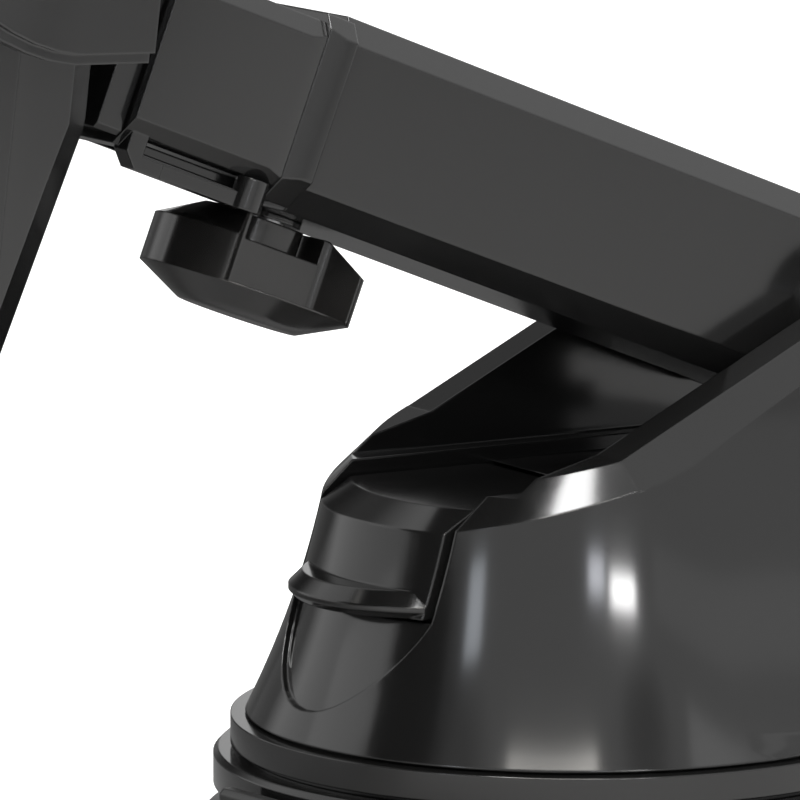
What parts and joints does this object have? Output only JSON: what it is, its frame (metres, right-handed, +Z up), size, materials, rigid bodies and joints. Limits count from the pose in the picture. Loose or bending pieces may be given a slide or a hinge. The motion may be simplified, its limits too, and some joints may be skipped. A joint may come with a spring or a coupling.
{
  "type": "car phone mount",
  "caption": "Round suction base with a cam lever in its slanted top, a hinged telescopic arm with a clamp knob, and a ball-jointed cradle with side jaws and a foot that grip a phone.",
  "frame": {"origin": "centre of the suction cup's flat underside", "axes": "+Z up from the suction face, -X towards the phone, Y across the arm's hinge"},
  "size_m": [0.1445, 0.082, 0.1341],
  "materials": {
    "shell_plastic": "smooth injection-moulded black ABS with a soft shine",
    "trim_plastic": "polished black ABS trim",
    "inner_plastic": "plain dark moulded nylon, out of sight",
    "soft_rubber": "matt black thermoplastic rubber",
    "cup_rubber": "glossy black suction rubber",
    "steel": "zinc-plated steel"
  },
  "bodies": {
    "base": {"suction_cup": "cup_rubber", "lower_ring": "trim_plastic", "trim_ring": "trim_plastic", "base_plate": "inner_plastic", "base_screws": "steel", "dome_shell": "shell_plastic", "lever_pins": "steel", "pivot_bolt": "steel", "pivot_nut": "steel", "pivot_caps": "trim_plastic", "friction_washers": "inner_plastic", "rod_spring": "steel"},
    "lever": {"cam_lever": "shell_plastic", "rod_pin": "steel"},
    "rod": {"pull_rod": "steel"},
    "arm": {"arm_tube": "shell_plastic", "hub_bushing": "inner_plastic", "arm_flange": "shell_plastic", "clamp_collar": "shell_plastic", "collar_post": "steel", "clamp_insert": "inner_plastic"},
    "knob": {"clamp_knob": "shell_plastic", "clamp_screw": "steel", "pressure_pad": "inner_plastic"},
    "inner": {"inner_arm": "shell_plastic", "arm_stop": "inner_plastic", "ball_stud": "inner_plastic"},
    "liner": {"socket_liner": "inner_plastic"},
    "seat": {"seat_ring": "inner_plastic"},
    "holder": {"cradle_back": "shell_plastic", "cradle_front": "shell_plastic", "front_pad": "soft_rubber", "cradle_screws": "steel", "pinion_pin": "steel", "trigger_spring": "steel", "right_key_spring": "steel", "left_key_spring": "steel"},
    "ring": {"ring_nut": "shell_plastic"},
    "right_jaw_body": {"right_jaw": "shell_plastic", "right_jaw_pad": "soft_rubber"},
    "left_jaw_body": {"left_jaw": "shell_plastic", "left_jaw_pad": "soft_rubber"},
    "pinion": {"rack_pinion": "inner_plastic"},
    "trigger": {"trigger_button": "trim_plastic"},
    "right_key_body": {"right_key": "trim_plastic"},
    "left_key_body": {"left_key": "trim_plastic"},
    "foot": {"foot_slider": "shell_plastic", "foot_pad": "soft_rubber"}
  },
  "joints": [
    {"name": "lever_lift", "type": "hinge", "parent": "base", "child": "lever", "pos_m": [-0.004, 0, 0.0297], "axis": [0, 1, 0], "range_deg": [0, 40]},
    {"name": "rod_drop", "type": "slide", "parent": "base", "child": "rod", "axis": [0, 0, 1], "range_m": [-0.00256, 0], "deforming": ["rod_spring"]},
    {"name": "arm_tilt", "type": "hinge", "parent": "base", "child": "arm", "pos_m": [0.027, 0, 0.05105], "axis": [0, 1, 0], "range_deg": [-8, 130]},
    {"name": "knob_turn", "type": "hinge", "parent": "arm", "child": "knob", "pos_m": [-0.03724, 0, 0.06031], "axis": [0.3675, 0, 0.93], "range_deg": [-180, 180]},
    {"name": "arm_extend", "type": "slide", "parent": "arm", "child": "inner", "axis": [-0.93, 0, 0.3675], "range_m": [0, 0.05]},
    {"name": "ball_tilt", "type": "hinge", "parent": "inner", "child": "liner", "pos_m": [-0.06777, 0, 0.0885], "axis": [0, 1, 0], "range_deg": [-2, 31]},
    {"name": "ball_swivel", "type": "hinge", "parent": "liner", "child": "seat", "pos_m": [-0.06777, 0, 0.0885], "axis": [0.1219, 0, 0.9925], "range_deg": [-11, 11]},
    {"name": "ball_roll", "type": "hinge", "parent": "seat", "child": "holder", "pos_m": [-0.06777, 0, 0.0885], "axis": [-0.9925, 0, 0.1219], "range_deg": [-90, 90]},
    {"name": "ring_turn", "type": "hinge", "parent": "holder", "child": "ring", "pos_m": [-0.06777, 0, 0.0885], "axis": [-0.9925, 0, 0.1219], "range_deg": [-60, 60]},
    {"name": "right_jaw_slide", "type": "slide", "parent": "holder", "child": "right_jaw_body", "axis": [0, -1, 0], "range_m": [-0.006, 0.012]},
    {"name": "left_jaw_slide", "type": "slide", "parent": "holder", "child": "left_jaw_body", "axis": [0, 1, 0], "range_m": [-0.006, 0.012]},
    {"name": "pinion_turn", "type": "hinge", "parent": "holder", "child": "pinion", "pos_m": [-0.077, 0, 0.11179], "axis": [-0.9925, 0, 0.1219], "range_deg": [-165, 83]},
    {"name": "trigger_press", "type": "slide", "parent": "holder", "child": "trigger", "axis": [0.9925, 0, -0.1219], "range_m": [0, 0.0015], "stiffness_N_per_m": 400, "springref_m": -0.001, "deforming": ["trigger_spring"]},
    {"name": "right_key_press", "type": "slide", "parent": "holder", "child": "right_key_body", "axis": [0, 1, 0], "range_m": [0, 0.0015], "stiffness_N_per_m": 300, "springref_m": -0.001, "deforming": ["right_key_spring"]},
    {"name": "left_key_press", "type": "slide", "parent": "holder", "child": "left_key_body", "axis": [0, -1, 0], "range_m": [0, 0.0015], "stiffness_N_per_m": 300, "springref_m": -0.001, "deforming": ["left_key_spring"]},
    {"name": "foot_slide", "type": "slide", "parent": "holder", "child": "foot", "axis": [0.1219, 0, 0.9925], "range_m": [-0.018, 0]}
  ],
  "couplings": [
    {"joint": "lever_lift", "follows": "rod_drop", "rad_per_m": -271.7},
    {"joint": "left_jaw_slide", "follows": "right_jaw_slide", "ratio": 1},
    {"joint": "pinion_turn", "follows": "right_jaw_slide", "rad_per_m": -238.1}
  ]
}
